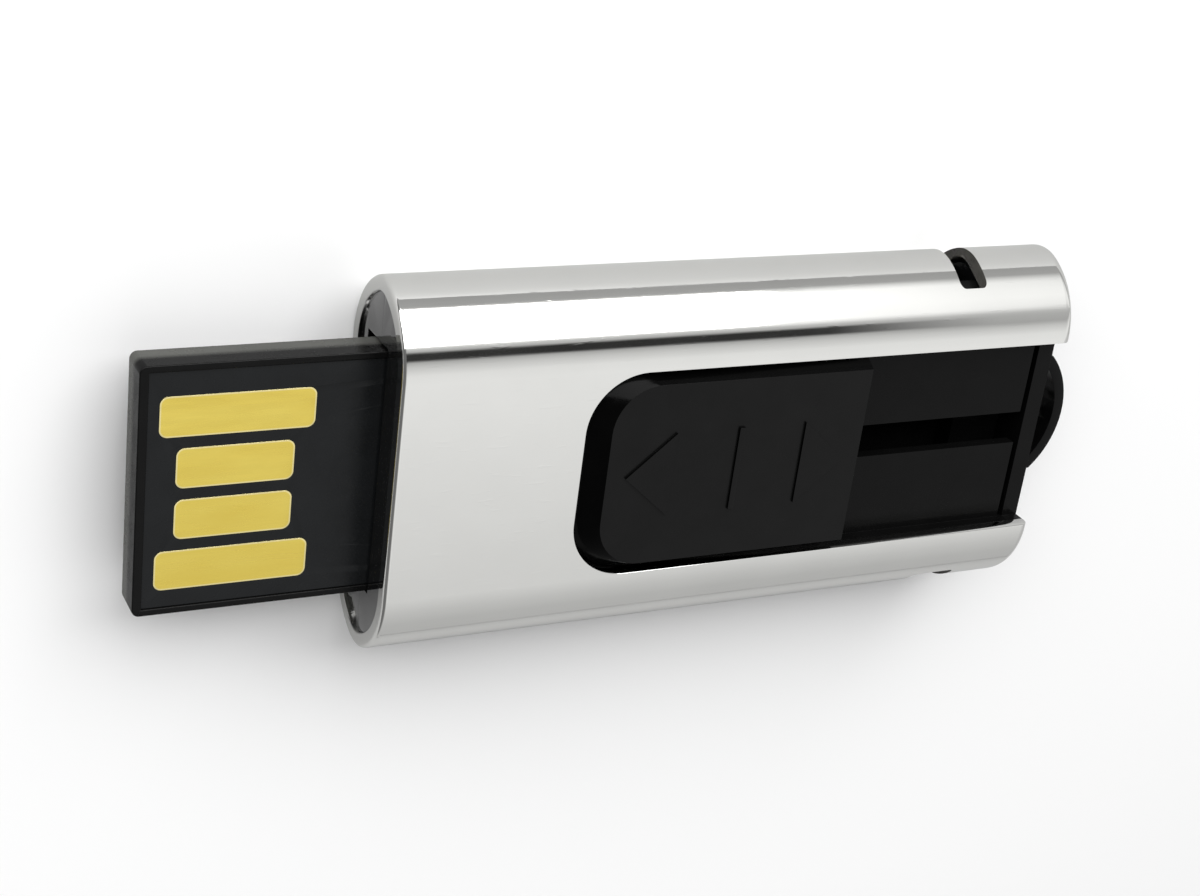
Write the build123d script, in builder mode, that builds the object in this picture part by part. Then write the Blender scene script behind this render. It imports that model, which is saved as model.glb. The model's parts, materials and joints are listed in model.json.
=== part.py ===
from build123d import *
import os
from math import atan2, degrees

# Slider flash drive, lying on its back face. X runs along the drive, with the
# USB tab towards -X, Y runs across it and Z points out of the slider face.
# Millimetres. The slide stands at its forward stop, with the tab run out.

# Metal shell
shell_length = 36.3
shell_width = 18.4
shell_height = 6.5
shell_wall = 0.72
flat_half_width = 5.3
edge_radius = 1.98
rim_round = 0.22
rear_round = 0.6

# Window in the slider face, open at the rear
window_setback = 9.2
window_width = 10.4
window_corner = 2.9

# Lanyard notches in the two long edges, one narrow (+Y) and one wide (-Y)
narrow_notch = 1.6
narrow_notch_from_rear = 6.0
wide_notch = 2.6
wide_notch_from_rear = 4.8
notch_height = 4.4
notch_corner = 0.3
notch_depth = 1.6

# USB tab
tab_width = 12.0
tab_thickness = 2.0
tab_reach = 10.8
tab_lift = 0.8
tip_border = 0.43
tip_corner = 0.35
tab_back_round = 0.3
tab_face_round = 0.06
tray_floor = 0.5
face_recess = 0.1

# Memory module carried by the tab
module_length = 24.8
module_width = 11.3
module_thickness = 1.3
substrate_thickness = 0.25
module_gap = 0.03

# Contact pads, from the tip border back: two long outer pads, two short inner ones,
# the row set a little towards -Y
pad_pitch = 2.47
pad_shift = 0.15
pad_width = 1.92
outer_pad_length = 6.95
inner_pad_length = 5.3
outer_pad_start = 0.5
inner_pad_start = 1.3
pad_thickness = 0.05
pad_sink = 0.03
pad_corner = 0.38

# Chips and small parts moulded into the module
flash_die_length = 9.0
flash_die_width = 7.6
die_thickness = 0.18
die_step = 0.6
controller_die_side = 2.6
oscillator_length = 2.0
oscillator_width = 1.6
oscillator_height = 0.6
chip_part_length = 1.0
chip_part_width = 0.5
chip_part_height = 0.45
chip_part_pitch = 1.3

# Carriage behind the tab
shoulder_width = 13.6
shoulder_length = 15.8
cover_thickness = 0.45
runner_width = 0.65
runner_height = 0.38
detent_groove_depth = 0.55
detent_notch_depth = 0.2
detent_groove_height = 0.9

# Two-part guide frame in the shell
nose_recess = 0.15
nose_wall = 1.5
plate_depth = 1.3
plate_thickness = 0.6
plate_slot_width = 1.75
pin_diameter = 0.8
pin_length = 1.0
pin_line = 7.65

# Detent springs
spring_length = 8.0
spring_thickness = 0.15
spring_height = 0.7
spring_bump = 1.1
spring_bump_length = 1.6

# Rear cap with its lanyard loop
end_wall = 0.95
end_groove = 0.3
spigot_length = 2.6
spigot_height = 1.2
loop_reach = 2.7
loop_width = 6.5
loop_crown = 4.5
loop_rim = 0.6
loop_lift = 0.6
loop_thickness = 1.8
loop_opening_gap = 0.35

# Thumb slider
button_length = 14.9
button_proud = 0.2
button_skirt = 0.75
button_front_bevel = 1.1
button_side_bevel = 0.42
stem_length = 4.8
stem_inset = 2.6
peg_diameter = 1.0
mark_width = 0.3
mark_rise = 0.12
arrow_height = 4.3
arrow_length = 2.45
arrow_gap = 3.5
mark_shift = 0.55

# Clearances
slide_gap = 0.12
skim_gap = 0.08
button_gap = 0.15
stop_gap = 0.15
fit_gap = 0.02
pin_gap = 0.03

# Places worked out from the sizes above
overall_length = tab_reach + shell_length + loop_reach
slide_travel = tab_reach
front = tab_reach - overall_length / 2
rear = front + shell_length
mid = shell_height / 2
tip = front - tab_reach
tab_face = mid + tab_lift
tab_back = tab_face - tab_thickness
floor_top = tab_back + tray_floor
module_face = tab_face - face_recess
module_back = module_face - module_thickness
substrate_back = module_face - substrate_thickness
module_front = tip + tip_border
module_rear = module_front + module_length
nose_front = front + nose_recess
nose_back = nose_front + nose_wall
shoulder_front = nose_back + stop_gap
shoulder_rear = shoulder_front + shoulder_length
cover_top = tab_face + cover_thickness
plate_top = shell_height - plate_depth
plate_back = plate_top - plate_thickness
channel_floor = tab_back - skim_gap
channel_half_width = shoulder_width / 2 + slide_gap
cap_front = rear - end_wall
plate_rear = cap_front - end_groove
spigot_front = plate_rear - spigot_length
window_front = front + window_setback
button_front = window_front + button_gap
button_rear = button_front + button_length
button_top = shell_height + button_proud
button_width = window_width - 2 * button_gap
stem_front = button_front + stem_inset
spring_middle = shoulder_rear - spring_bump_length - detent_notch_depth
spring_back_line = shoulder_width / 2 - detent_groove_depth + spring_bump + skim_gap


def across(x):
    """Plane square to the drive's length at x, centred on its mid-height."""
    return Plane(origin=(x, 0, mid), x_dir=(0, 1, 0), z_dir=(1, 0, 0))


def level(z):
    """Horizontal plane at height z."""
    return Plane.XY.offset(z)


def oval(inset):
    """Shell section drawn in by inset: flats, shoulder arcs and edge arcs, all tangent."""
    edge_centre = shell_width / 2 - edge_radius
    run = edge_centre - flat_half_width
    shoulder_radius = (run**2 + mid**2 - edge_radius**2) / (2 * (mid - edge_radius))
    drop = shoulder_radius - mid
    lean = degrees(atan2(drop, run))
    with BuildSketch() as section:
        with BuildLine():
            CenterArc((flat_half_width, -drop), shoulder_radius - inset, lean, 90 - lean)
            CenterArc((edge_centre, 0), edge_radius - inset, -lean, 2 * lean)
            CenterArc((flat_half_width, drop), shoulder_radius - inset, -90, 90 - lean)
            mirror(about=Plane.YZ)
            Line((-flat_half_width, mid - inset), (flat_half_width, mid - inset))
            Line((-flat_half_width, inset - mid), (flat_half_width, inset - mid))
        make_face()
    return section.sketch


def strip(start, end, width, y=0):
    """Rectangle from start to end along the drive, width wide about y."""
    with BuildSketch() as plan:
        with Locations(((start + end) / 2, y)):
            Rectangle(end - start, width)
    return plan.sketch


def round_nosed(start, end, width, corner):
    """Rectangle with its two corners at the start rounded."""
    with BuildSketch() as plan:
        add(strip(start, end, width))
        fillet(plan.vertices().group_by(Axis.X)[0], corner)
    return plan.sketch


def notch(width):
    """Rounded slot of a lanyard notch, seen from the drive's edge."""
    with BuildSketch() as outline:
        RectangleRounded(width, notch_height, notch_corner)
    return outline.sketch


def notch_centre(side):
    """Place along the drive of the notch in the +Y (1) or -Y (-1) edge."""
    return rear - (narrow_notch_from_rear if side > 0 else wide_notch_from_rear)


def notch_plane(side):
    """Upright plane inside the shell's edge, from which a notch is cut outwards."""
    origin = (notch_centre(side), side * (shell_width / 2 - notch_depth), mid)
    return Plane(origin=origin, x_dir=(side, 0, 0), z_dir=(0, side, 0))


def notch_width(side):
    """Size along the drive of the notch in the +Y (1) or -Y (-1) edge."""
    return narrow_notch if side > 0 else wide_notch


# ---------------------------------------------------------------- metal shell
with BuildPart() as metal_shell:
    with BuildSketch(across(front)):
        add(oval(0))
    extrude(amount=shell_length)
    for end, round_size in ((0, rim_round), (-1, rear_round)):
        rim = metal_shell.faces().filter_by(Axis.X).sort_by(Axis.X)[end]
        fillet(rim.edges(), round_size)
    with BuildSketch(across(front)):
        add(oval(shell_wall))
    extrude(amount=shell_length, mode=Mode.SUBTRACT)
    with BuildSketch(level(mid)):
        add(round_nosed(window_front, rear + loop_reach, window_width, window_corner))
    extrude(amount=shell_height, mode=Mode.SUBTRACT)
    for side in (1, -1):
        with BuildSketch(notch_plane(side)):
            add(notch(notch_width(side)))
        extrude(amount=2 * notch_depth, mode=Mode.SUBTRACT)
metal_shell.part.label = "metal_shell"


# ---------------------------------------------------------------- guide frame
def passage(side):
    """Plan of the cord passage from a notch in to the middle of the drive."""
    half = notch_width(side) / 2
    centre = notch_centre(side)
    return strip(centre - half, centre + half, shell_width / 2, side * shell_width / 4)


def spring_pocket(side):
    """Plan of the pocket beside the slide channel that holds a detent spring."""
    depth = spring_back_line + spring_thickness + fit_gap - channel_half_width
    half = spring_length / 2 + fit_gap
    middle = side * (channel_half_width + depth / 2)
    return strip(spring_middle - half, spring_middle + half, depth, middle)


def pin_places():
    """Locating pins: two beside the nose, two in front of the rear cap."""
    front_pins = nose_back + 2 * pin_diameter
    rear_pins = spring_middle + spring_length / 2 + 2 * pin_diameter
    return [(x, side * pin_line) for x in (front_pins, rear_pins) for side in (1, -1)]


with BuildPart() as frame_lower:
    with BuildSketch(across(nose_front)):
        add(oval(shell_wall + fit_gap))
    extrude(amount=cap_front - nose_front)
    # the half above the parting plane belongs to the upper frame
    with BuildSketch(level(mid)):
        add(strip(nose_front, cap_front, shell_width))
    extrude(amount=shell_height, mode=Mode.SUBTRACT)
    # slide channel, wide behind the nose and as wide as the tab through it
    with BuildSketch(level(channel_floor)):
        add(strip(nose_back, cap_front, 2 * channel_half_width))
        add(strip(nose_front, nose_back, tab_width + 2 * slide_gap))
    extrude(amount=shell_height, mode=Mode.SUBTRACT)
    # runner grooves, which run out of the mouth as two small ears
    groove_width = runner_width + 2 * slide_gap
    for side in (1, -1):
        groove_line = side * (tab_width / 2 + slide_gap - groove_width / 2)
        with BuildSketch(level(channel_floor - runner_height)):
            add(strip(nose_front, spigot_front, groove_width, groove_line))
        extrude(amount=runner_height, mode=Mode.SUBTRACT)
        with BuildSketch(level(mid - spring_height)):
            add(spring_pocket(side))
        extrude(amount=spring_height, mode=Mode.SUBTRACT)
        with BuildSketch(level(mid - notch_height / 4)):
            add(passage(side))
        extrude(amount=notch_height / 4, mode=Mode.SUBTRACT)
    with BuildSketch(level(mid)):
        with Locations(*pin_places()):
            Circle(pin_diameter / 2 + pin_gap)
    extrude(amount=-pin_length - pin_gap, mode=Mode.SUBTRACT)
frame_lower.part.label = "frame_lower"

with BuildPart() as frame_upper:
    with BuildSketch(across(nose_front)):
        add(oval(shell_wall + fit_gap))
    extrude(amount=cap_front - nose_front)
    with BuildSketch(level(0)):
        add(strip(nose_front, cap_front, shell_width))
    extrude(amount=mid, mode=Mode.SUBTRACT)
    # slide channel under the plate, then the mouth through the nose wall
    with BuildSketch(level(mid)):
        add(strip(nose_back, cap_front, 2 * channel_half_width))
    extrude(amount=plate_back - mid, mode=Mode.SUBTRACT)
    with BuildSketch(level(mid)):
        add(strip(nose_front, nose_back, tab_width + 2 * slide_gap))
    extrude(amount=tab_face + skim_gap - mid, mode=Mode.SUBTRACT)
    # sunk floor plate in the window, with a groove in front of the end wall
    with BuildSketch(level(plate_top)):
        add(round_nosed(window_front, cap_front, window_width, window_corner))
    extrude(amount=plate_depth, mode=Mode.SUBTRACT)
    with BuildSketch(level(plate_back)):
        add(strip(plate_rear, cap_front, window_width))
        add(strip(stem_front - stop_gap, plate_rear, plate_slot_width))
    extrude(amount=plate_depth + plate_thickness, mode=Mode.SUBTRACT)
    for side in (1, -1):
        with BuildSketch(level(mid)):
            add(spring_pocket(side))
        extrude(amount=spring_height, mode=Mode.SUBTRACT)
        with BuildSketch(level(mid)):
            add(passage(side))
        extrude(amount=notch_height / 4, mode=Mode.SUBTRACT)
    with BuildSketch(level(mid)):
        with Locations(*pin_places()):
            Circle(pin_diameter / 2)
    extrude(amount=-pin_length)
frame_upper.part.label = "frame_upper"


# ------------------------------------------------------------- detent springs
def detent_spring(side):
    """Leaf spring with a rounded bump towards the slide, in the pocket on one side."""
    half_bump = spring_bump_length / 2
    back = side * (spring_back_line + spring_thickness / 2)
    crest = side * (spring_back_line + spring_thickness / 2 - spring_bump)
    with BuildPart() as spring:
        with BuildSketch(level(mid - spring_height + fit_gap)):
            with BuildLine():
                start = spring_middle - spring_length / 2 + spring_thickness
                end = spring_middle + spring_length / 2 - spring_thickness
                Polyline(
                    (start, back),
                    (spring_middle - spring_bump_length, back),
                    (spring_middle - half_bump / 2, crest),
                    (spring_middle + half_bump / 2, crest),
                    (spring_middle + spring_bump_length, back),
                    (end, back),
                )
            trace(line_width=spring_thickness)
        extrude(amount=2 * (spring_height - fit_gap))
    return spring.part


with BuildPart() as detent_spring_left:
    add(detent_spring(1))
detent_spring_left.part.label = "detent_spring_left"

with BuildPart() as detent_spring_right:
    add(detent_spring(-1))
detent_spring_right.part.label = "detent_spring_right"


# ------------------------------------------------------------------- rear cap
def loop_outline(inset):
    """D of the lanyard loop: straight sides and a crowned end, drawn in by inset."""
    with BuildSketch() as outline:
        with Locations((rear + loop_reach - loop_crown, 0)):
            Circle(loop_crown - inset)
        base = (rear + loop_reach / 2, 0)
        with Locations(base):
            Rectangle(loop_reach, loop_width - 2 * inset, mode=Mode.INTERSECT)
    return outline.sketch


with BuildPart() as rear_cap:
    with BuildSketch(across(cap_front)):
        add(oval(shell_wall + fit_gap))
    extrude(amount=end_wall)
    with BuildSketch(level(plate_top + fit_gap)):
        add(strip(cap_front, rear, window_width))
    extrude(amount=plate_depth, mode=Mode.SUBTRACT)
    # low spigot that holds the cap on the floor of the slide channel
    with BuildSketch(level(channel_floor + fit_gap)):
        add(strip(spigot_front, cap_front, 2 * (channel_half_width - fit_gap)))
    extrude(amount=spigot_height)
    with BuildSketch(level(mid + loop_lift - loop_thickness)):
        add(loop_outline(0))
    extrude(amount=loop_thickness)
    with BuildSketch(level(mid + loop_lift - loop_thickness)):
        add(loop_outline(loop_rim))
        with Locations((rear, 0)):
            Rectangle(2 * loop_opening_gap, loop_width, mode=Mode.SUBTRACT)
    extrude(amount=loop_thickness, mode=Mode.SUBTRACT)
rear_cap.part.label = "rear_cap"


# ------------------------------------------------------------- connector tray
with BuildPart() as connector_tray:
    with BuildSketch(level(tab_back)):
        add(strip(tip, shoulder_rear, tab_width))
    extrude(amount=tab_thickness)
    fillet(connector_tray.edges().filter_by(Axis.Z).group_by(Axis.X)[0], tip_corner)
    tip_edges = connector_tray.faces().sort_by(Axis.Z)[0].edges()
    fillet(tip_edges.filter_by(Axis.X), tab_back_round)
    with BuildSketch(level(tab_back)):
        add(strip(shoulder_front, shoulder_rear, shoulder_width))
    extrude(amount=tab_thickness)
    # pocket for the module, with its border left standing round the tip
    with BuildSketch(level(floor_top)):
        pocket_front = module_front - module_gap
        pocket_rear = module_rear + module_gap
        add(strip(pocket_front, pocket_rear, module_width + 2 * module_gap))
    extrude(amount=tab_thickness, mode=Mode.SUBTRACT)
    for side in (1, -1):
        # runner under each side
        runner_line = side * (tab_width / 2 - runner_width / 2)
        with BuildSketch(level(tab_back - runner_height + slide_gap)):
            add(strip(shoulder_front, shoulder_rear, runner_width, runner_line))
        extrude(amount=runner_height - slide_gap + tab_back_round)
        # groove for the spring's bump, with a click notch at each end
        wall = side * shoulder_width / 2
        groove_front = spring_middle - slide_travel - spring_bump_length
        groove_rear = spring_middle + spring_bump_length
        with BuildSketch(level(mid - detent_groove_height)):
            add(strip(groove_front, groove_rear, 2 * detent_groove_depth, wall))
            for middle in (spring_middle, spring_middle - slide_travel):
                reach = 2 * (detent_groove_depth + detent_notch_depth)
                half = spring_bump_length / 2
                add(strip(middle - half, middle + half, reach, wall))
        extrude(amount=2 * detent_groove_height, mode=Mode.SUBTRACT)
connector_tray.part.label = "connector_tray"

with BuildPart() as tray_cover:
    with BuildSketch(level(tab_face)):
        add(strip(shoulder_front, shoulder_rear, shoulder_width))
    extrude(amount=cover_thickness)
    with BuildSketch(level(tab_face)):
        peg_front = stem_front + peg_diameter
        peg_rear = stem_front + stem_length - peg_diameter
        with Locations((peg_front, 0), (peg_rear, 0)):
            Circle(peg_diameter / 2 + pin_gap)
    extrude(amount=cover_thickness, mode=Mode.SUBTRACT)
tray_cover.part.label = "tray_cover"

with BuildPart() as module_tape:
    with BuildSketch(level(floor_top)):
        add(strip(module_front, module_rear, module_width))
    extrude(amount=module_back - floor_top)
module_tape.part.label = "module_tape"


# -------------------------------------------------------------- memory module
def pad_outline(index):
    """Contact pad, counted from the +Y edge: 0 and 3 are long, 1 and 2 are short."""
    outer = index in (0, 3)
    length = outer_pad_length if outer else inner_pad_length
    start = module_front + (outer_pad_start if outer else inner_pad_start)
    across_tab = (1.5 - index) * pad_pitch - pad_shift
    with BuildSketch() as pad:
        with Locations((start + length / 2, across_tab)):
            RectangleRounded(length, pad_width, pad_corner)
    return pad.sketch


with BuildPart() as module_substrate:
    with BuildSketch(level(substrate_back)):
        add(strip(module_front, module_rear, module_width))
    extrude(amount=substrate_thickness)
    with BuildSketch(level(module_face - pad_sink)):
        for index in range(4):
            add(pad_outline(index))
    extrude(amount=pad_sink, mode=Mode.SUBTRACT)
module_substrate.part.label = "module_substrate"

contact_pads = []
for index in range(4):
    with BuildPart() as contact_pad:
        with BuildSketch(level(module_face - pad_sink)):
            add(pad_outline(index))
        extrude(amount=pad_thickness)
    contact_pad.part.label = f"contact_pad_{index + 1}"
    contact_pads.append(contact_pad.part)

flash_centre = module_rear - flash_die_length / 2 - 2 * die_step
controller_centre = module_front + module_length / 2 - controller_die_side
oscillator_centre = controller_centre - controller_die_side - die_step

with BuildPart() as flash_die_upper:
    with BuildSketch(level(substrate_back - die_thickness)):
        with Locations((flash_centre, 0)):
            Rectangle(flash_die_length, flash_die_width)
    extrude(amount=die_thickness)
flash_die_upper.part.label = "flash_die_upper"

with BuildPart() as flash_die_lower:
    with BuildSketch(level(substrate_back - 2 * die_thickness)):
        with Locations((flash_centre + die_step, 0)):
            Rectangle(flash_die_length, flash_die_width)
    extrude(amount=die_thickness)
flash_die_lower.part.label = "flash_die_lower"

with BuildPart() as controller_die:
    with BuildSketch(level(substrate_back - die_thickness)):
        with Locations((controller_centre, 0)):
            Rectangle(controller_die_side, controller_die_side)
    extrude(amount=die_thickness)
controller_die.part.label = "controller_die"

with BuildPart() as oscillator:
    with BuildSketch(level(substrate_back - oscillator_height)):
        with Locations((oscillator_centre, 0)):
            Rectangle(oscillator_length, oscillator_width)
    extrude(amount=oscillator_height)
oscillator.part.label = "oscillator"


def chip_parts(row_y):
    """Row of four small ceramic parts under the substrate, along the line row_y."""
    with BuildPart() as row:
        with BuildSketch(level(substrate_back - chip_part_height)):
            with Locations((controller_centre - controller_die_side, row_y)):
                with GridLocations(chip_part_pitch, 0, 4, 1):
                    Rectangle(chip_part_width, chip_part_length)
        extrude(amount=chip_part_height)
    return row.part


chip_row_line = controller_die_side / 2 + chip_part_pitch

with BuildPart() as capacitors:
    add(chip_parts(chip_row_line))
capacitors.part.label = "capacitors"

with BuildPart() as resistors:
    add(chip_parts(-chip_row_line))
resistors.part.label = "resistors"

moulded_in = [flash_die_upper, flash_die_lower, controller_die, oscillator, capacitors, resistors]

with BuildPart() as module_mould:
    with BuildSketch(level(module_back)):
        add(strip(module_front, module_rear, module_width))
    extrude(amount=substrate_back - module_back)
    for chip in moulded_in:
        add(chip.part, mode=Mode.SUBTRACT)
module_mould.part.label = "module_mould"


# --------------------------------------------------------------- thumb slider
def arrow(base_x, point):
    """Triangle with its base at base_x and its point towards -X (-1) or +X (1)."""
    with BuildSketch() as outline:
        with BuildLine():
            Polyline(
                (base_x, arrow_height / 2),
                (base_x + point * arrow_length, 0),
                (base_x, -arrow_height / 2),
                close=True,
            )
        make_face()
    return outline.sketch


with BuildPart() as slider_button:
    skirt_bottom = plate_top + skim_gap
    with BuildSketch(level(skirt_bottom)):
        corner = window_corner - button_gap
        add(round_nosed(button_front, button_rear, button_width, corner))
    extrude(amount=button_skirt)
    # bevelled crown, long at the front and short at the sides, with its raised marks
    with BuildSketch(level(skirt_bottom + button_skirt)):
        add(round_nosed(button_front, button_rear, button_width, corner))
    with BuildSketch(level(button_top)):
        crown_width = button_width - 2 * button_side_bevel
        crown_front = button_front + button_front_bevel
        add(round_nosed(crown_front, button_rear, crown_width, corner - button_side_bevel))
    loft()
    with BuildSketch(level(button_top)):
        mark_middle = (button_front + button_rear) / 2 + mark_shift
        add(arrow(mark_middle - arrow_gap, -1))
        add(arrow(mark_middle + arrow_gap, 1))
        with Locations((mark_middle, 0)):
            Rectangle(mark_width, arrow_height)
    extrude(amount=mark_rise)
    # stem through the plate's slot, with two pegs into the tray cover
    with BuildSketch(level(cover_top)):
        stem_rear = stem_front + stem_length
        add(strip(stem_front, stem_rear, plate_slot_width - 2 * slide_gap))
    extrude(amount=skirt_bottom - cover_top)
    with BuildSketch(level(tab_face)):
        with Locations((peg_front, 0), (peg_rear, 0)):
            Circle(peg_diameter / 2)
    extrude(amount=cover_thickness)
slider_button.part.label = "slider_button"

# -------------------------------------------------------------------- written
os.makedirs("parts", exist_ok=True)
pieces = [
    metal_shell,
    frame_lower,
    frame_upper,
    detent_spring_left,
    detent_spring_right,
    rear_cap,
    connector_tray,
    tray_cover,
    module_tape,
    module_substrate,
    flash_die_upper,
    flash_die_lower,
    controller_die,
    oscillator,
    capacitors,
    resistors,
    module_mould,
    slider_button,
]
for piece in pieces:
    export_step(piece.part, f"parts/{piece.part.label}.step")
for pad in contact_pads:
    export_step(pad, f"parts/{pad.label}.step")
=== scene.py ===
import bmesh
import bpy
import json
from math import atan2, cos, pi, radians, sin, sqrt, tan
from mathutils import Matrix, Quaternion, Vector


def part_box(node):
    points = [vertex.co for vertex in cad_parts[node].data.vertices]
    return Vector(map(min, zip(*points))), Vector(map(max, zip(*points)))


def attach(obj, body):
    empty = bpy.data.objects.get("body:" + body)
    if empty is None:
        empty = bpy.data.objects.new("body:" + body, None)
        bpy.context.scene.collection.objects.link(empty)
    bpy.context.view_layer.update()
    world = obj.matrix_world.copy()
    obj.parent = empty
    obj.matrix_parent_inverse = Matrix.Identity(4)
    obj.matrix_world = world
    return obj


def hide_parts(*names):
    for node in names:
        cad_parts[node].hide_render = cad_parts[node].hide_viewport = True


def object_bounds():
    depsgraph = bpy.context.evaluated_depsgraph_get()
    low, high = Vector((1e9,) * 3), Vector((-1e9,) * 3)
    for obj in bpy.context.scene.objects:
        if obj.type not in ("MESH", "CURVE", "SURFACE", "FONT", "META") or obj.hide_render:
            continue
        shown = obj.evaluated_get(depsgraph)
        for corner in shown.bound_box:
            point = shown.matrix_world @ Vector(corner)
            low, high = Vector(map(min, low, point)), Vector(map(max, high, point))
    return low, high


# Slider flash drive, lying on its back on a pale table. Lengths are in metres unless a
# name ends in _mm. The drive runs along X, tab towards -X, and its slider face looks up.
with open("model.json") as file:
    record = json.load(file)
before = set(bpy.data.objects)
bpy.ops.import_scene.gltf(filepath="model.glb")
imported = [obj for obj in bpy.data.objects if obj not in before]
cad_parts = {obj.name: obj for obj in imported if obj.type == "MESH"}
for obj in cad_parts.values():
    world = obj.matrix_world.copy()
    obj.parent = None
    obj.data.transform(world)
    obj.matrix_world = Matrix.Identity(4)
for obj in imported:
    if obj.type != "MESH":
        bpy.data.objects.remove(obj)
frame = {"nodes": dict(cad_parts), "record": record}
cad_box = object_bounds()

MM = 0.001

# ------------------------------------------------------------------ places from the frame
shell_low, shell_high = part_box("metal_shell")
button_low, button_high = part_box("slider_button")
mouth_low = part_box("frame_lower")[0]
module_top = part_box("module_substrate")[1]
object_centre = (cad_box[0] + cad_box[1]) / 2


# --------------------------------------------------------------------------- node helpers
def shader(name):
    """New node material: the material, its node tree and its Principled shader."""
    made = bpy.data.materials.new(name)
    made.use_nodes = True
    return made, made.node_tree, made.node_tree.nodes["Principled BSDF"]


def node(tree, kind, **settings):
    """New node of a kind, with its properties and its unlinked inputs set by name."""
    made = tree.nodes.new(kind)
    for key, value in settings.items():
        if key in made.inputs:
            made.inputs[key].default_value = value
        else:
            setattr(made, key, value)
    return made


def millimetres(tree, stretch=(1, 1, 1)):
    """Object coordinates in millimetres, each axis divided by its stretch."""
    place = node(tree, "ShaderNodeTexCoord")
    scale = node(tree, "ShaderNodeMapping")
    scale.inputs["Scale"].default_value = [1 / (MM * s) for s in stretch]
    tree.links.new(place.outputs["Object"], scale.inputs["Vector"])
    return scale.outputs["Vector"]


def noise(tree, per_mm, detail=3.0, stretch=(1, 1, 1), roughness=0.55):
    """Noise with per_mm lumps in a millimetre."""
    made = node(tree, "ShaderNodeTexNoise", Scale=per_mm, Detail=detail, Roughness=roughness)
    tree.links.new(millimetres(tree, stretch), made.inputs["Vector"])
    return made.outputs["Fac"]


def spread(tree, value, low, high, start=0.3, end=0.7):
    """Value between start and end, spread over low to high."""
    made = node(tree, "ShaderNodeMapRange")
    made.inputs["From Min"].default_value = start
    made.inputs["From Max"].default_value = end
    made.inputs["To Min"].default_value = low
    made.inputs["To Max"].default_value = high
    tree.links.new(value, made.inputs["Value"])
    return made.outputs["Result"]


def blend_colours(tree, factor, first, second):
    """Colour that goes from first to second with factor."""
    made = node(tree, "ShaderNodeMix", data_type="RGBA")
    for socket, colour in zip([s for s in made.inputs if s.type == "RGBA"], (first, second)):
        socket.default_value = (*colour, 1)
    tree.links.new(factor, made.inputs["Factor"])
    return [s for s in made.outputs if s.type == "RGBA"][0]


def product(tree, first, second):
    """First value times the second."""
    made = node(tree, "ShaderNodeMath", operation="MULTIPLY")
    tree.links.new(first, made.inputs[0])
    tree.links.new(second, made.inputs[1])
    return made.outputs[0]


def towards_grey(tree, colour, factor, tone):
    """Colour that goes to a grey of that tone as factor rises to 1."""
    made = node(tree, "ShaderNodeMix", data_type="RGBA")
    first, second = [s for s in made.inputs if s.type == "RGBA"]
    tree.links.new(colour, first)
    second.default_value = (tone, tone, tone, 1)
    tree.links.new(factor, made.inputs["Factor"])
    return [s for s in made.outputs if s.type == "RGBA"][0]


def bump(tree, height, depth_mm, under=None):
    """Surface relief depth_mm deep from a height of 0 to 1, laid over another relief."""
    made = node(tree, "ShaderNodeBump", Distance=depth_mm * MM)
    tree.links.new(height, made.inputs["Height"])
    if under is not None:
        tree.links.new(under, made.inputs["Normal"])
    return made.outputs["Normal"]


# ------------------------------------------------------------------------------ materials
def moulded_plastic(name, dark, light, smooth, dull, grain_per_mm, grain_depth_mm, shine):
    """Black moulded plastic with a fine grain and uneven gloss."""
    made, tree, surface = shader(name)
    mottle = noise(tree, per_mm=0.6, detail=4)
    tree.links.new(blend_colours(tree, mottle, dark, light), surface.inputs["Base Color"])
    handling = noise(tree, per_mm=1.3, detail=6)
    tree.links.new(spread(tree, handling, smooth, dull), surface.inputs["Roughness"])
    surface.inputs["Specular IOR Level"].default_value = shine
    grain = bump(tree, noise(tree, grain_per_mm, detail=2), grain_depth_mm)
    tree.links.new(grain, surface.inputs["Normal"])
    return made


def polished_metal():
    """Bright chrome plate: nearly a mirror, with hairline scratches and faint smears."""
    made, tree, surface = shader("chrome_shell")
    surface.inputs["Metallic"].default_value = 1
    tone = noise(tree, per_mm=0.25, detail=3)
    tree.links.new(
        blend_colours(tree, tone, (0.862, 0.862, 0.838), (0.922, 0.922, 0.896)),
        surface.inputs["Base Color"],
    )
    smears = noise(tree, per_mm=0.35, detail=6, stretch=(2.5, 1, 1))
    tree.links.new(spread(tree, smears, low=0.03, high=0.09), surface.inputs["Roughness"])
    waviness = bump(tree, noise(tree, per_mm=0.22, detail=1), depth_mm=0.006)
    brushing = noise(tree, per_mm=9, detail=2, stretch=(14, 1, 1))
    hairlines = bump(tree, brushing, depth_mm=0.00025, under=waviness)
    spots = noise(tree, per_mm=4, detail=3, stretch=(5, 1, 1))
    nicks = spread(tree, spots, low=0, high=1, start=0.60, end=0.72)
    scuffs = bump(tree, nicks, depth_mm=0.0006, under=hairlines)
    tree.links.new(scuffs, surface.inputs["Normal"])
    return made


def grey_lower_sides(made):
    """Turns the tab's plastic grey along the lower half of its sides, in patches."""
    tree = made.node_tree
    split = node(tree, "ShaderNodeSeparateXYZ")
    tree.links.new(millimetres(tree), split.inputs[0])
    low, high = (module_top.z / MM - depth for depth in grey_depths_mm)
    # factor that is 1 low on the tab's sides and 0 higher up
    wear = spread(tree, split.outputs["Z"], 1, 0, start=low, end=high)
    patches = noise(tree, per_mm=1.1, detail=5, stretch=(3, 1, 1))
    patchy = product(tree, wear, spread(tree, patches, low=0.8, high=1))
    colour = blend_colours(tree, patchy, *lower_side_greys)
    tree.links.new(colour, tree.nodes["Principled BSDF"].inputs["Base Color"])


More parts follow.
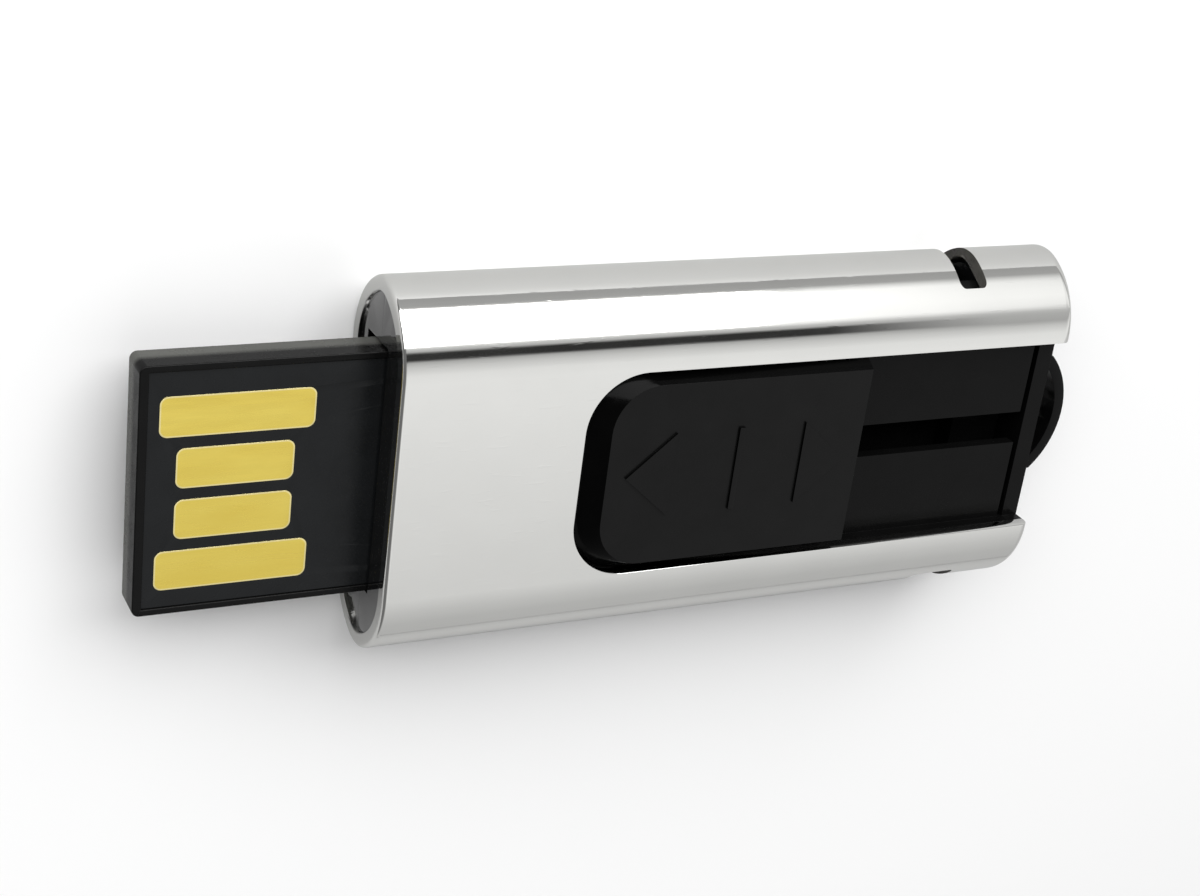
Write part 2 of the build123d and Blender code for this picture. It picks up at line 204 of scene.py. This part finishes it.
def add_coat(made, coat_ior, coat_roughness):
    """Lays a clear polished coat over a finish."""
    inputs = made.node_tree.nodes["Principled BSDF"].inputs
    inputs["Coat Weight"].default_value = 1
    inputs["Coat IOR"].default_value = coat_ior
    inputs["Coat Roughness"].default_value = coat_roughness


def painted_rim_highlight(tree, size):
    """Factor that rises to 1 in a thin line along the edge of a round-cornered pad, where a highlight is
    painted.
    """
    place = node(tree, "ShaderNodeTexCoord").outputs["Generated"]
    operations = (
        ("MULTIPLY_ADD", size, [-s / 2 for s in size]),
        ("ABSOLUTE",),
        ("SUBTRACT", [s / 2 - pad_corner_mm for s in size]),
        ("MAXIMUM", (0, 0, 0)),
        ("MULTIPLY", (1, 1, 0)),
        ("LENGTH",),
    )
    for operation, *values in operations:
        following = node(tree, "ShaderNodeVectorMath", operation=operation)
        tree.links.new(place, following.inputs[0])
        for socket, value in zip(following.inputs[1:], values):
            socket.default_value = value
        place = following.outputs["Value" if operation == "LENGTH" else "Vector"]
    start, end = (pad_corner_mm - depth for depth in rim_highlight_mm)
    return spread(tree, place, 0, 1, start, end)


def gold_plate(name, size):
    """Gold-plated contact, faintly brushed along the drive, with a painted highlight along its rim."""
    made, tree, surface = shader(name)
    surface.inputs["Metallic"].default_value = 1
    tone = noise(tree, per_mm=0.8, detail=4, stretch=(3, 1, 1))
    gold = blend_colours(tree, tone, (0.87, 0.655, 0.115), (0.97, 0.79, 0.18))
    # paler gold along the pad's edge: a painted highlight
    rim_highlighted = node(tree, "ShaderNodeMix", data_type="RGBA")
    first, second = [s for s in rim_highlighted.inputs if s.type == "RGBA"]
    tree.links.new(gold, first)
    second.default_value = (1, 0.87, 0.42, 1)
    tree.links.new(painted_rim_highlight(tree, size), rim_highlighted.inputs["Factor"])
    shown = [s for s in rim_highlighted.outputs if s.type == "RGBA"][0]
    tree.links.new(shown, surface.inputs["Base Color"])
    wear = noise(tree, per_mm=2.2, detail=5, stretch=(6, 1, 1))
    tree.links.new(spread(tree, wear, low=0.16, high=0.34), surface.inputs["Roughness"])
    brushing = bump(tree, noise(tree, per_mm=14, detail=2, stretch=(20, 1, 1)), depth_mm=0.0012)
    tree.links.new(brushing, surface.inputs["Normal"])
    return made


def plain(name, dark, light, smooth, dull, metallic=0.0, per_mm=2.0):
    """Finish of an inner piece: mottled colour, uneven gloss and a fine relief."""
    made, tree, surface = shader(name)
    surface.inputs["Metallic"].default_value = metallic
    mottle = noise(tree, per_mm, detail=4)
    tree.links.new(blend_colours(tree, mottle, dark, light), surface.inputs["Base Color"])
    tree.links.new(spread(tree, mottle, smooth, dull), surface.inputs["Roughness"])
    relief = bump(tree, noise(tree, 6 * per_mm, detail=2), depth_mm=0.002)
    tree.links.new(relief, surface.inputs["Normal"])
    return made


pad_corner_mm = 0.38
rim_highlight_mm = (0.085, 0.051)  # depth at which the rim's painted highlight starts and is full
grey_depths_mm = (1.05, 0.65)  # below the module's face: fully grey, and not grey
lower_side_greys = ((0.004, 0.004, 0.004), (0.086, 0.087, 0.080))
# darkest and lightest colour, lowest and highest roughness, grains in a millimetre,
# grain depth in millimetres, specular level
plastics = {
    "black_gloss_plastic": ((0.002,) * 3, (0.004,) * 3, 0.14, 0.28, 9, 0.0012, 0.10),
    "black_satin_plastic": ((0.002,) * 3, (0.005,) * 3, 0.22, 0.36, 12, 0.0020, 0.12),
    "button_plastic": ((0.002,) * 3, (0.005,) * 3, 0.26, 0.34, 14, 0.0011, 0.16),
    # darker, duller copy of the button's plastic: painted shade on its bevels and on the walls of its
    # marks
    "button_painted_shade": ((0.0006,) * 3, (0.0016,) * 3, 0.10, 0.20, 14, 0.0010, 0.06),
    "solder_mask": ((0.005, 0.0055, 0.006), (0.010, 0.011, 0.012), 0.20, 0.34, 7, 0.0016, 0.20),
    "mouth_gloss": ((0.004,) * 3, (0.008,) * 3, 0.05, 0.12, 9, 0.0008, 1.0),
    "lower_side_grey_plastic": ((0.010, 0.010, 0.009), (0.022, 0.022, 0.020), 0.16, 0.32, 10, 0.0016, 0.14),
}
finishes = {name: moulded_plastic(name, *look) for name, look in plastics.items()}
finishes |= {
    "chrome_shell": polished_metal(),
    # dark dull metal for the notch walls: painted shade inside the notches
    "notch_painted_shade": plain("notch_painted_shade", (0.05, 0.048, 0.044), (0.12, 0.115, 0.105), 0.25, 0.4, 1.0),
    "spring_steel": plain("spring_steel", (0.45, 0.45, 0.45), (0.62, 0.62, 0.61), 0.2, 0.4, 1.0),
    "adhesive_tape": plain("adhesive_tape", (0.55, 0.52, 0.42), (0.7, 0.67, 0.56), 0.4, 0.6),
    "mould_compound": plain("mould_compound", (0.015, 0.015, 0.015), (0.03, 0.03, 0.03), 0.5, 0.7),
    "silicon": plain("silicon", (0.10, 0.10, 0.13), (0.16, 0.16, 0.19), 0.08, 0.2, 0.6),
    "chip_ceramic": plain("chip_ceramic", (0.35, 0.25, 0.16), (0.48, 0.36, 0.25), 0.5, 0.7),
    "chip_resistor": plain("chip_resistor", (0.03, 0.03, 0.03), (0.07, 0.07, 0.07), 0.3, 0.5),
}
grey_lower_sides(finishes["lower_side_grey_plastic"])
add_coat(finishes["mouth_gloss"], coat_ior=1.8, coat_roughness=0.08)
node_slots = {row["node"]: row["material_slot"] for row in frame["record"]["subparts"]}
for name, piece in frame["nodes"].items():
    piece.data.materials.clear()
    if name.startswith("contact_pad"):
        low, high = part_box(name)
        piece.data.materials.append(gold_plate(name, [c / MM for c in high - low]))
    else:
        piece.data.materials.append(finishes[node_slots[name]])


def refinish(name, finish, wanted):
    """Gives the faces of a CAD node that wanted() picks a finish of their own."""
    mesh = frame["nodes"][name].data
    mesh.materials.append(finishes[finish])
    for face in mesh.polygons:
        if wanted(face):
            face.material_index = len(mesh.materials) - 1


def is_mark_wall(face):
    """Whether a face of the button is a side wall of one of its raised marks."""
    return abs(face.normal.z) < upright and face.center.z > shell_high.z + crown_rise


def is_bevel(face):
    """Whether a face of the button slopes down from its crown, or walls in a mark: these faces get the
    painted shade.
    """
    return upright < face.normal.z < level_face or is_mark_wall(face)


def is_mouth(face):
    """Whether a face of the guide frame looks out of the shell's mouth."""
    return face.center.x < mouth_low.x + mouth_depth and face.normal.x < -0.5


def is_side(face):
    """Whether a face of the tray looks sideways or forwards, or rounds off its back."""
    return abs(face.normal.z) < 0.8


# the mouth is polished, and the tab's sides are grey towards the bottom
mouth_depth = 0.5 * MM
crown_rise = 0.19 * MM  # the marks stand on the crown, at least this far above the shell
upright = 0.2  # upward part of the normal of a face taken as a wall, at most
level_face = 0.95  # upward part of the normal of a face taken as level, at least
for name in ("frame_lower", "frame_upper"):
    refinish(name, "mouth_gloss", is_mouth)
refinish("connector_tray", "lower_side_grey_plastic", is_side)
# the bevels and mark walls get the darker copy of the button's plastic: painted shade
refinish("slider_button", "button_painted_shade", is_bevel)


# ------------------------------------------------------------------------- polished shell
flat_half_width = 5.3 * MM
edge_radius = 1.98 * MM
shell_wall = 0.72 * MM
rim_round = 0.22 * MM
rear_round = 0.6 * MM
inner_round = 0.05 * MM
window_gap = 0.15 * MM
window_corner = 2.9 * MM
window_edge_round = 0.03 * MM
notch_height = 4.4 * MM
notch_corner = 0.3 * MM
notch_depth = 1.6 * MM
notches = ((1, 6.0 * MM, 1.6 * MM), (-1, 4.8 * MM, 2.6 * MM))  # edge, place from rear, width
cutter_overrun = 1 * MM  # how far the window's cutter runs past the rear end
shoulder_steps, edge_steps = 44, 20  # faces round each arc of the section
rim_steps, rear_steps = 5, 8  # faces round the front rim and the rear rim
window_corner_steps, notch_corner_steps = 30, 6
sharp_cut = radians(50)  # edges of the window sharper than this are rounded
same_facing = 0.995  # dot of two normals that count as one direction
crosswise = 0.7  # dot of a face's normal and the section's under which it is a cut wall
half_and_a_bit = 0.51  # share of a notch's size round its middle that holds its walls

half_width = (shell_high.y - shell_low.y) / 2
mid = (shell_high.z - shell_low.z) / 2
edge_centre = half_width - edge_radius
shoulder_run = edge_centre - flat_half_width
shoulder_radius = (shoulder_run**2 + mid**2 - edge_radius**2) / (2 * (mid - edge_radius))
shoulder_drop = shoulder_radius - mid
edge_lean = atan2(shoulder_drop, shoulder_run)


def steps(start, end, count):
    """count + 1 even values from start to end."""
    return [start + (end - start) * i / count for i in range(count + 1)]


def oval_point(tilt):
    """Point and outward normal (y, z) on the +Y half of the section, tilt 0 at the top."""
    if tilt <= pi / 2 - edge_lean:
        centre, radius = (flat_half_width, mid - shoulder_drop), shoulder_radius
    elif tilt < pi / 2 + edge_lean:
        centre, radius = (edge_centre, mid), edge_radius
    else:
        centre, radius = (flat_half_width, mid + shoulder_drop), shoulder_radius
    normal = (sin(tilt), cos(tilt))
    return (centre[0] + radius * normal[0], centre[1] + radius * normal[1]), normal


def oval_section():
    """Points and normals round the shell's section, clockwise from the +Y end of the top flat."""
    bend = pi / 2 - edge_lean
    tilts = steps(0, bend, shoulder_steps)
    tilts += steps(bend, pi - bend, edge_steps)[1:]
    tilts += steps(pi - bend, pi, shoulder_steps)[1:]
    right = [oval_point(t) for t in tilts]
    left = [((-y, z), (-ny, nz)) for (y, z), (ny, nz) in reversed(right)]
    return right + left


def nearest_normal(y, z):
    """Outward normal (y, z) of the section at a point on or just under its surface."""
    side = 1 if y >= 0 else -1
    level = 1 if z >= mid else -1
    out, up = abs(y), (z - mid) * level
    if out <= flat_half_width:
        return 0.0, float(level)
    if atan2(up + shoulder_drop, out - flat_half_width) >= edge_lean:
        across, rise = out - flat_half_width, up + shoulder_drop
    else:
        across, rise = out - edge_centre, up
    reach = sqrt(across**2 + rise**2)
    return side * across / reach, level * rise / reach


def wall_stations():
    """(x, depth under the outer surface) round one wall of the tube, from front to rear and back."""
    front, rear = shell_low.x, shell_high.x
    fore, aft = steps(0, pi / 2, rim_steps), steps(0, pi / 2, rear_steps)
    stations = [(front + rim_round * (1 - sin(a)), rim_round * (1 - cos(a))) for a in reversed(fore)]
    stations += [(rear - rear_round * (1 - sin(a)), rear_round * (1 - cos(a))) for a in aft]
    stations += [(rear, shell_wall - inner_round), (rear - inner_round, shell_wall)]
    stations += [(front + inner_round, shell_wall), (front, shell_wall - inner_round)]
    return stations


def new_object(name, work):
    """Scene object from a bmesh, which is freed."""
    mesh = bpy.data.meshes.new(name)
    work.to_mesh(mesh)
    work.free()
    made = bpy.data.objects.new(name, mesh)
    bpy.context.scene.collection.objects.link(made)
    return made


def shell_tube():
    """The oval tube with rounded rims, before anything is cut from it."""
    section = oval_section()
    work = bmesh.new()
    rings = []
    for x, depth in wall_stations():
        ring = [work.verts.new((x, y - depth * ny, z - depth * nz)) for (y, z), (ny, nz) in section]
        rings.append(ring)
    count = len(section)
    for i, ring in enumerate(rings):
        following = rings[(i + 1) % len(rings)]
        for j in range(count):
            k = (j + 1) % count
            work.faces.new((ring[j], following[j], following[k], ring[k]))
    bmesh.ops.recalc_face_normals(work, faces=work.faces)
    return new_object("shell", work)


def prism(outline, lift):
    """Cutter: a closed outline of points, pushed through by the vector lift."""
    work = bmesh.new()
    base = work.faces.new([work.verts.new(p) for p in outline])
    top = bmesh.ops.extrude_face_region(work, geom=[base])["geom"]
    bmesh.ops.translate(work, vec=lift, verts=[v for v in top if isinstance(v, bmesh.types.BMVert)])
    bmesh.ops.recalc_face_normals(work, faces=work.faces)
    return new_object("cutter", work)


def arc(centre, radius, start, end, count):
    """Points (a, b) on an arc, angles in radians."""
    return [(centre[0] + radius * cos(a), centre[1] + radius * sin(a)) for a in steps(start, end, count)]


def window_cutter():
    """Round-nosed window in the top face, open at the rear."""
    nose = button_low.x - window_gap
    half = (button_high.y - button_low.y) / 2 + window_gap
    tail = shell_high.x + cutter_overrun
    corner = nose + window_corner
    outline = [(tail, -half), (tail, half)]
    for quarter, centre in ((1, half - window_corner), (2, window_corner - half)):
        start = quarter * pi / 2
        outline += arc((corner, centre), window_corner, start, start + pi / 2, window_corner_steps)
    return prism([(x, y, mid) for x, y in outline], (0, 0, 2 * mid))


def notch_cutter(side, from_rear, width):
    """Rounded slot through one long edge."""
    x = shell_high.x - from_rear
    half, tall = width / 2 - notch_corner, notch_height / 2 - notch_corner
    outline = []
    for quarter, (sx, sz) in enumerate(((1, 1), (-1, 1), (-1, -1), (1, -1))):
        start = quarter * pi / 2
        centre = (x + sx * half, mid + sz * tall)
        outline += arc(centre, notch_corner, start, start + pi / 2, notch_corner_steps)
    inside = side * (half_width - notch_depth)
    return prism([(a, inside, b) for a, b in outline], (0, side * 2 * notch_depth, 0))


def cut(piece, cutter):
    """Takes the cutter out of the piece."""
    change = piece.modifiers.new("cut", "BOOLEAN")
    change.object = cutter
    change.operation = "DIFFERENCE"
    change.solver = "EXACT"
    apply_modifiers(piece)
    bpy.data.objects.remove(cutter)


def apply_modifiers(piece):
    """Makes the piece's modifiers part of its mesh."""
    graph = bpy.context.evaluated_depsgraph_get()
    graph.update()
    finished = bpy.data.meshes.new_from_object(piece.evaluated_get(graph))
    piece.modifiers.clear()
    piece.data = finished


def soften_window(piece):
    """Small round along the cut edges of the window."""
    half = (button_high.y - button_low.y) / 2 + window_gap
    work = bmesh.new()
    work.from_mesh(piece.data)
    bmesh.ops.remove_doubles(work, verts=work.verts, dist=0.1 * inner_round)
    sharp = [
        e
        for e in work.edges
        if e.is_manifold
        and e.calc_face_angle() > sharp_cut
        and all(abs(v.co.y) <= half + 0.1 * MM and v.co.z > mid for v in e.verts)
        and all(v.co.x < shell_high.x - 1.1 * rear_round for v in e.verts)
    ]
    bmesh.ops.bevel(
        work, geom=sharp, offset=window_edge_round, segments=2, affect="EDGES", profile=0.5
    )
    work.to_mesh(piece.data)
    work.free()


def rim_lean(share):
    """Lean of the rim's round at a share of its depth: 0 before it starts, upright at its end."""
    share = min(max(share, 0), 1)
    return atan2(share, sqrt(1 - share**2))


def true_normals(mesh):
    """Gives the shell's outside and rims the exact normals of its round surfaces."""
    front, rear = shell_low.x, shell_high.x
    given = []
    for face in mesh.polygons:
        face.use_smooth = True
        found = []
        for index in face.vertices:
            x, y, z = mesh.vertices[index].co
            ny, nz = nearest_normal(y, z)
            end, radius = (-1, rim_round) if x < object_centre.x else (1, rear_round)
            into_end = (x - rear if end > 0 else front - x) + radius
            lean = rim_lean(into_end / radius)
            found.append(Vector((end * sin(lean), ny * cos(lean), nz * cos(lean))))
        middle = sum(found, Vector()) / len(found)
        outside = middle.length > 0 and face.normal.dot(middle.normalized()) > same_facing
        given += found if outside else [Vector((0, 0, 0))] * len(found)
    mesh.normals_split_custom_set([tuple(n) for n in given])


def paint_notch_shade(mesh):
    """Gives the walls of the punched notches a dark dull metal: painted shade inside the notches."""
    for face in mesh.polygons:
        x, y, z = face.center
        face.material_index = 0
        for side, from_rear, width in notches:
            beside = abs(x - shell_high.x + from_rear) < half_and_a_bit * width
            near = beside and abs(z - mid) < half_and_a_bit * notch_height
            ny, nz = nearest_normal(y, z)
            facing = abs(face.normal.y * ny + face.normal.z * nz)
            if side * y > flat_half_width and near and facing < crosswise:
                face.material_index = 1


shell = shell_tube()
cut(shell, window_cutter())
for side, from_rear, width in notches:
    cut(shell, notch_cutter(side, from_rear, width))
soften_window(shell)
true_normals(shell.data)
# the second finish is the painted shade of the notch walls
for finish in ("chrome_shell", "notch_painted_shade"):
    shell.data.materials.append(finishes[finish])
paint_notch_shade(shell.data)
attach(shell, "housing")
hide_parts("metal_shell")

# ------------------------------------------------------------------- softened hard edges
edge_rounds = {
    "slider_button": 0.07,
    "connector_tray": 0.06,
    "frame_lower": 0.05,
    "frame_upper": 0.05,
    "rear_cap": 0.09,
    "module_substrate": 0.015,
    "contact_pad_1": 0.02,
    "contact_pad_2": 0.02,
    "contact_pad_3": 0.02,
    "contact_pad_4": 0.02,
}
weld_mm = 0.001
round_segments = 3
sharp_edge = radians(25)
for name, round_mm in edge_rounds.items():
    piece = frame["nodes"][name]
    weld = piece.modifiers.new("weld", "WELD")
    weld.merge_threshold = weld_mm * MM
    soften = piece.modifiers.new("soften", "BEVEL")
    soften.width = round_mm * MM
    soften.segments = round_segments
    soften.limit_method = "ANGLE"
    soften.angle_limit = sharp_edge
    soften.use_clamp_overlap = True
    piece.modifiers.new("shade", "WEIGHTED_NORMAL")

# --------------------------------------------------------------------------------- studio
floor_half_size = 0.6
floor_cells = 8
floor_roughness = 0.8
floor_tone = 0.87
floor_in_gloss = 0.46
soft_box_power = 3.2
soft_box_distance = 0.42
soft_box_angles = (27, 75)
soft_box_length = 0.8
soft_box_end = 0.27


def table_top():
    """Pale matt table. In the metal it looks darker than to the eye, as under a tent light."""
    work = bmesh.new()
    bmesh.ops.create_grid(work, x_segments=floor_cells, y_segments=floor_cells, size=floor_half_size)
    made = new_object("table_top", work)
    finish, tree, surface = shader("table_top")
    surface.inputs["Roughness"].default_value = floor_roughness
    seen = node(tree, "ShaderNodeLightPath").outputs["Is Glossy Ray"]
    tone = blend_colours(tree, seen, (floor_tone,) * 3, (floor_in_gloss,) * 3)
    tree.links.new(tone, surface.inputs["Base Color"])
    made.data.materials.append(finish)


def soft_box():
    """Long soft light on the +Y side, parallel to the drive."""
    low, high = (radians(angle) for angle in soft_box_angles)
    middle = (low + high) / 2
    light = bpy.data.lights.new("soft_box", "AREA")
    light.shape = "RECTANGLE"
    light.size = soft_box_length
    light.size_y = 2 * soft_box_distance * tan((high - low) / 2)
    light.energy = soft_box_power
    made = bpy.data.objects.new("soft_box", light)
    across, up = soft_box_distance * sin(middle), soft_box_distance * cos(middle)
    made.location = (soft_box_end - soft_box_length / 2, across, up)
    made.rotation_euler = (-middle, 0, 0)
    bpy.context.scene.collection.objects.link(made)


room_brightness = 1.0
backdrop_tone = 0.9
# Brightness of the white tent round the drive's long axis: angle from straight up towards
# +Y in degrees, and tone. The slit is a dark gap between two panels of the tent, the glow
# is the lit panel's bright middle, and the card is a black card behind the camera.
tent = (
    (-180, 0.50), (-90, 0.46), (-70, 0.48), (-50, 0.56), (-31, 0.67), (-25, 0.84),
    (-10, 0.80), (2, 0.58), (8, 0.40), (19, 0.45), (25, 0.56), (34, 0.82), (45, 0.92),
    (56, 0.87), (66, 0.75), (79, 0.38), (92, 0.34), (180, 0.50),
)
glow_angles = (23, 30, 68, 78)  # starts, is full, starts to fall, ends
glow_reach = (0.54, 0.68)  # along X: starts to fall, ends
glow_tone = 1.15
slit_angles = (7, 10, 18, 21)
slit_reach = (0.54, 0.60)
slit_tone = 0.03
card_reach = (-0.10, -0.45)
card_tone = 0.15


def band(tree, turn, x, angles, reach):
    """Factor that is 1 between two angles round X, and fades out towards +X."""
    rises = spread(tree, turn, 0, 1, radians(angles[0]), radians(angles[1]))
    falls = spread(tree, turn, 1, 0, radians(angles[2]), radians(angles[3]))
    return product(tree, product(tree, rises, falls), spread(tree, x, 1, 0, *reach))


def tent_light():
    """World: a tent whose tone follows the angle round X, and a plain backdrop to the eye."""
    world = bpy.data.worlds.new("tent")
    bpy.context.scene.world = world
    world.use_nodes = True
    tree = world.node_tree
    background = tree.nodes["Background"]
    place = node(tree, "ShaderNodeTexCoord").outputs["Generated"]
    split = node(tree, "ShaderNodeSeparateXYZ")
    tree.links.new(place, split.inputs[0])
    turn = node(tree, "ShaderNodeMath", operation="ARCTAN2")
    tree.links.new(split.outputs["Y"], turn.inputs[0])
    tree.links.new(split.outputs["Z"], turn.inputs[1])
    share = node(tree, "ShaderNodeMapRange")
    share.inputs["From Min"].default_value = -pi
    share.inputs["From Max"].default_value = pi
    tree.links.new(turn.outputs[0], share.inputs["Value"])
    ramp = node(tree, "ShaderNodeValToRGB")
    stops = ramp.color_ramp.elements
    while len(stops) < len(tent):
        stops.new(0.5)
    for stop, (angle, tone) in zip(stops, tent):
        stop.position = (angle + 180) / 360
        stop.color = (tone, tone, tone, 1)
    tree.links.new(share.outputs["Result"], ramp.inputs["Fac"])
    x = split.outputs["X"]
    glow = band(tree, turn.outputs[0], x, glow_angles, glow_reach)
    slit = band(tree, turn.outputs[0], x, slit_angles, slit_reach)
    card = spread(tree, x, 0, 1, *card_reach)
    lit = towards_grey(tree, ramp.outputs["Color"], glow, glow_tone)
    lit = towards_grey(tree, lit, slit, slit_tone)
    lit = towards_grey(tree, lit, card, card_tone)
    eye = node(tree, "ShaderNodeLightPath").outputs["Is Camera Ray"]
    mix = node(tree, "ShaderNodeMix", data_type="RGBA")
    colours = [s for s in mix.inputs if s.type == "RGBA"]
    tree.links.new(lit, colours[0])
    colours[1].default_value = (backdrop_tone, backdrop_tone, backdrop_tone, 1)
    tree.links.new(eye, mix.inputs["Factor"])
    tree.links.new([s for s in mix.outputs if s.type == "RGBA"][0], background.inputs["Color"])
    background.inputs["Strength"].default_value = room_brightness


table_top()
soft_box()
tent_light()

# --------------------------------------------------------------------------------- camera
camera_azimuth = radians(-131.66)
camera_elevation = radians(52.14)
camera_distance = 0.10039
camera_roll = radians(134.55)
camera_lens = 62.4
camera_clip = (0.005, 10)
aim_offset = Vector((-0.0024, 0, 0))


def make_camera():
    """Camera above the tab's +Y side, rolled so that +Y is up in the picture."""
    lens = bpy.data.cameras.new("camera")
    lens.lens = camera_lens
    lens.clip_start, lens.clip_end = camera_clip
    made = bpy.data.objects.new("camera", lens)
    a, e = camera_azimuth, camera_elevation
    away = Vector((sin(a) * cos(e), -cos(a) * cos(e), sin(e)))
    made.location = object_centre + camera_distance * away
    back = (made.location - object_centre - aim_offset).normalized()
    level = (-back).to_track_quat("-Z", "Y")
    made.rotation_mode = "QUATERNION"
    made.rotation_quaternion = Quaternion(back, camera_roll) @ level
    bpy.context.scene.collection.objects.link(made)
    bpy.context.scene.camera = made


make_camera()
bpy.context.scene.view_settings.view_transform = "Standard"
